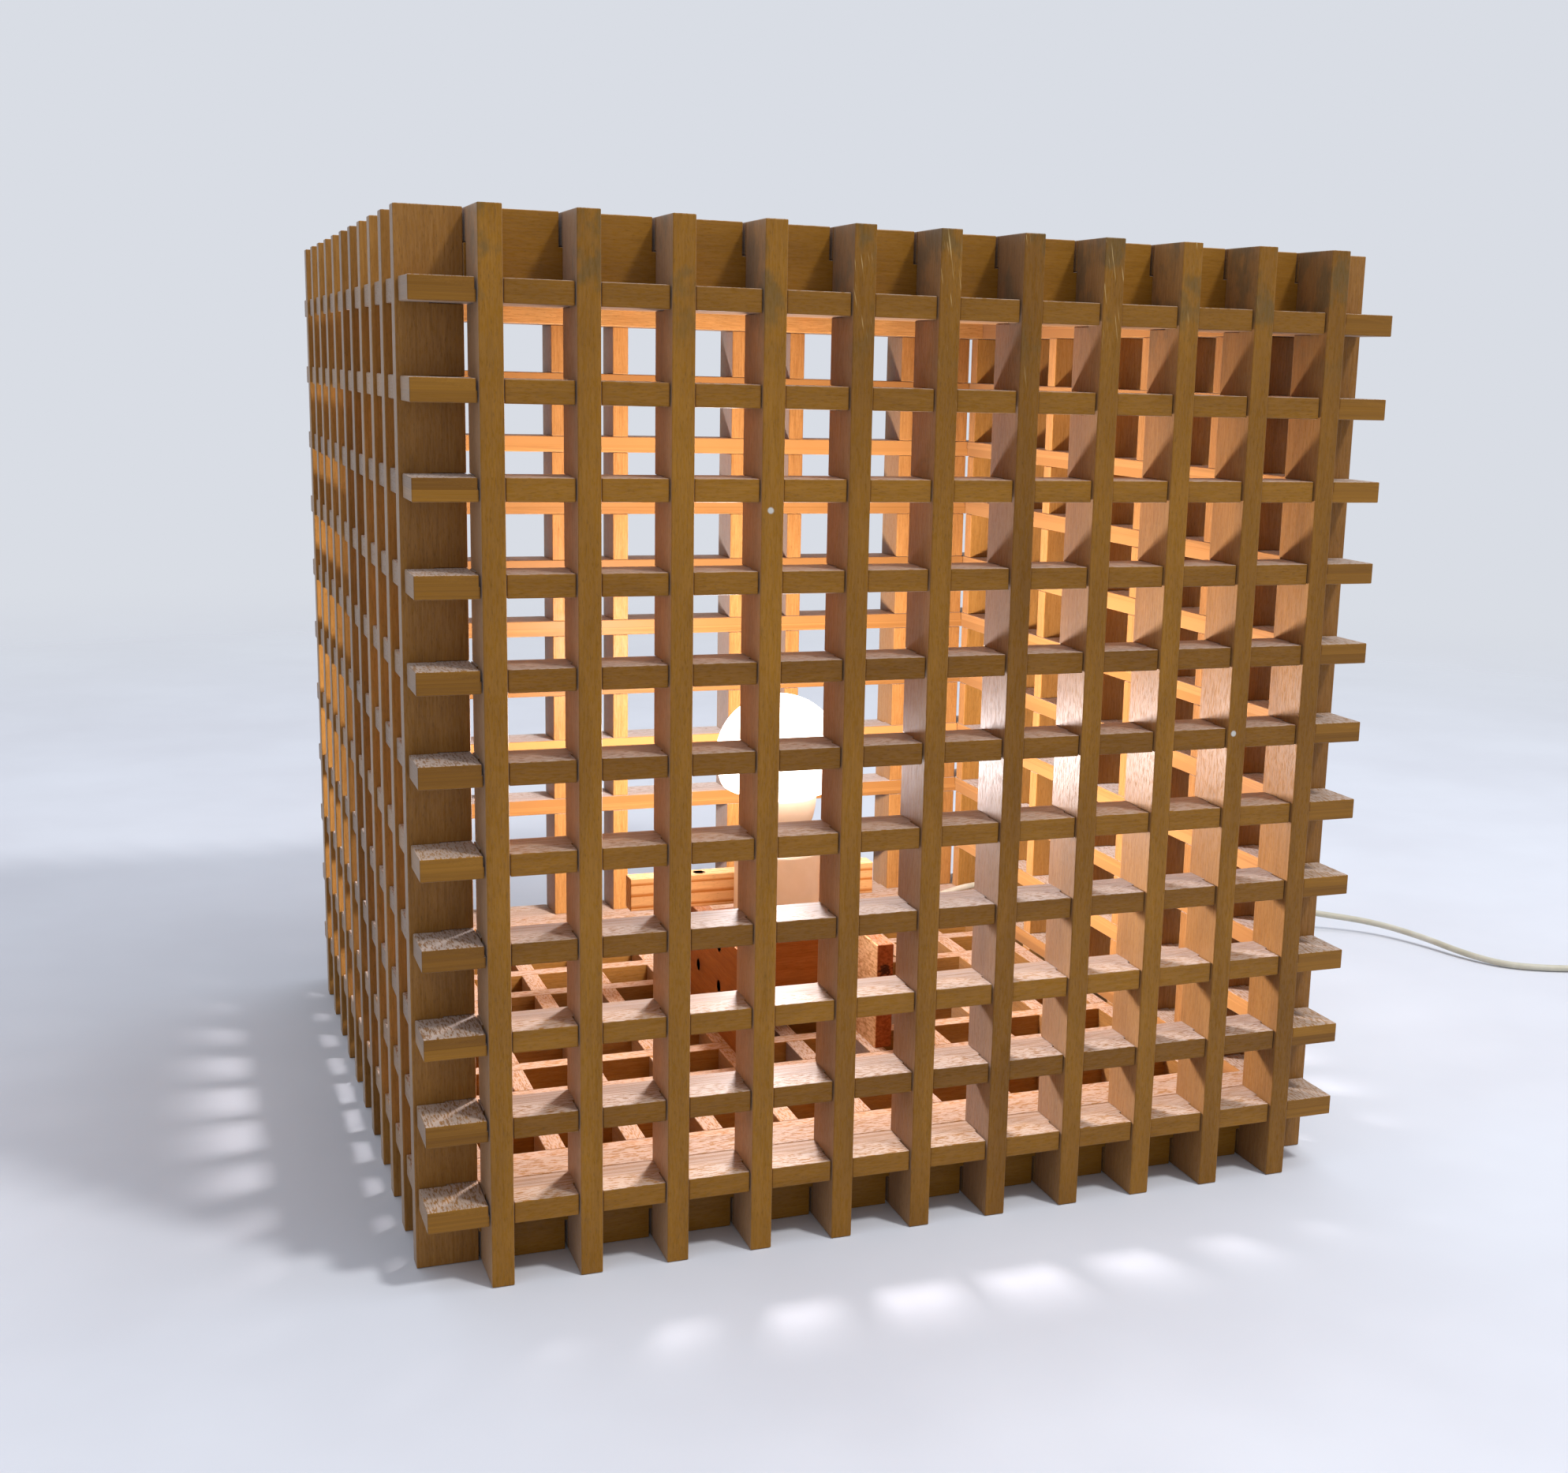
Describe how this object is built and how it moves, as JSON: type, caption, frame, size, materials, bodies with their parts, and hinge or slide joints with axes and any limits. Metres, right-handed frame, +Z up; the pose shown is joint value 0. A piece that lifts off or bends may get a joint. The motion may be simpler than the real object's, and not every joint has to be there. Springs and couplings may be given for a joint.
{
  "type": "floor lamp",
  "caption": "Cube floor lamp of half-lapped wooden slats round a bare bulb on a small wooden stand, with a lift-out top grid and a mains cord.",
  "frame": {"origin": "middle of the cube's footprint, on the floor", "axes": "+Z up; +X along the front, towards the side where the cord comes out; -Y is the front"},
  "size_m": [0.914, 0.468, 0.465],
  "materials": {
    "black_insulator": "black glass",
    "brass_contacts": "pressed",
    "bulb_housing": "moulded",
    "grid_boards": "oiled hardwood, satin",
    "grid_slats": "oiled hardwood, satin",
    "ivory_cord": "PVC sheath",
    "ivory_plug": "moulded PVC",
    "ivory_shell": "moulded, aged ivory",
    "nickel_cap": "nickel-plated",
    "nickel_pins": "nickel-plated",
    "opal_globe": "opal diffuser",
    "pine_batten": "bare sawn pine",
    "porcelain": "glazed porcelain",
    "side_slats": "oiled hardwood, satin",
    "solder_tip": "soft solder",
    "stand_boards": "bare hardwood",
    "steel_screws": "zinc-plated",
    "tie": "plastic-coated wire"
  },
  "bodies": {
    "cube": {"back_rails": "side_slats", "back_uprights": "side_slats", "batten_screws": "steel_screws", "bottom_back_board": "grid_boards", "bottom_cross_slats": "grid_slats", "bottom_front_board": "grid_boards", "bottom_long_slats": "grid_slats", "cord_coil": "ivory_cord", "cord_gland": "ivory_shell", "cord_run": "ivory_cord", "cord_tail": "ivory_cord", "cord_tie": "tie", "front_rails": "side_slats", "front_uprights": "side_slats", "lampholder_contact": "brass_contacts", "lampholder_core": "porcelain", "lampholder_screw_shell": "brass_contacts", "lampholder_screws": "steel_screws", "lampholder_shell": "ivory_shell", "left_rails": "side_slats", "left_uprights": "side_slats", "plug_body": "ivory_plug", "plug_pins": "nickel_pins", "right_rails": "side_slats", "right_uprights": "side_slats", "stand_back_cross": "stand_boards", "stand_batten": "pine_batten", "stand_front_cross": "stand_boards", "stand_left_board": "stand_boards", "stand_plate": "stand_boards", "stand_right_board": "stand_boards", "stand_screws": "steel_screws", "top_back_board": "grid_boards", "top_front_board": "grid_boards"},
    "top_grid": {"top_cross_slats": "grid_slats", "top_long_slats": "grid_slats"},
    "bulb": {"bulb_cap": "nickel_cap", "bulb_cap_insulator": "black_insulator", "bulb_globe": "opal_globe", "bulb_housing": "bulb_housing", "bulb_tip": "solder_tip"}
  },
  "joints": [
    {"name": "top_grid_lift", "type": "slide", "parent": "cube", "child": "top_grid", "axis": [0, 0, 1], "range_m": [0, 0.04]},
    {"name": "bulb_unscrew", "type": "slide", "parent": "cube", "child": "bulb", "axis": [0, 0, 1], "range_m": [0, 0.03]}
  ]
}
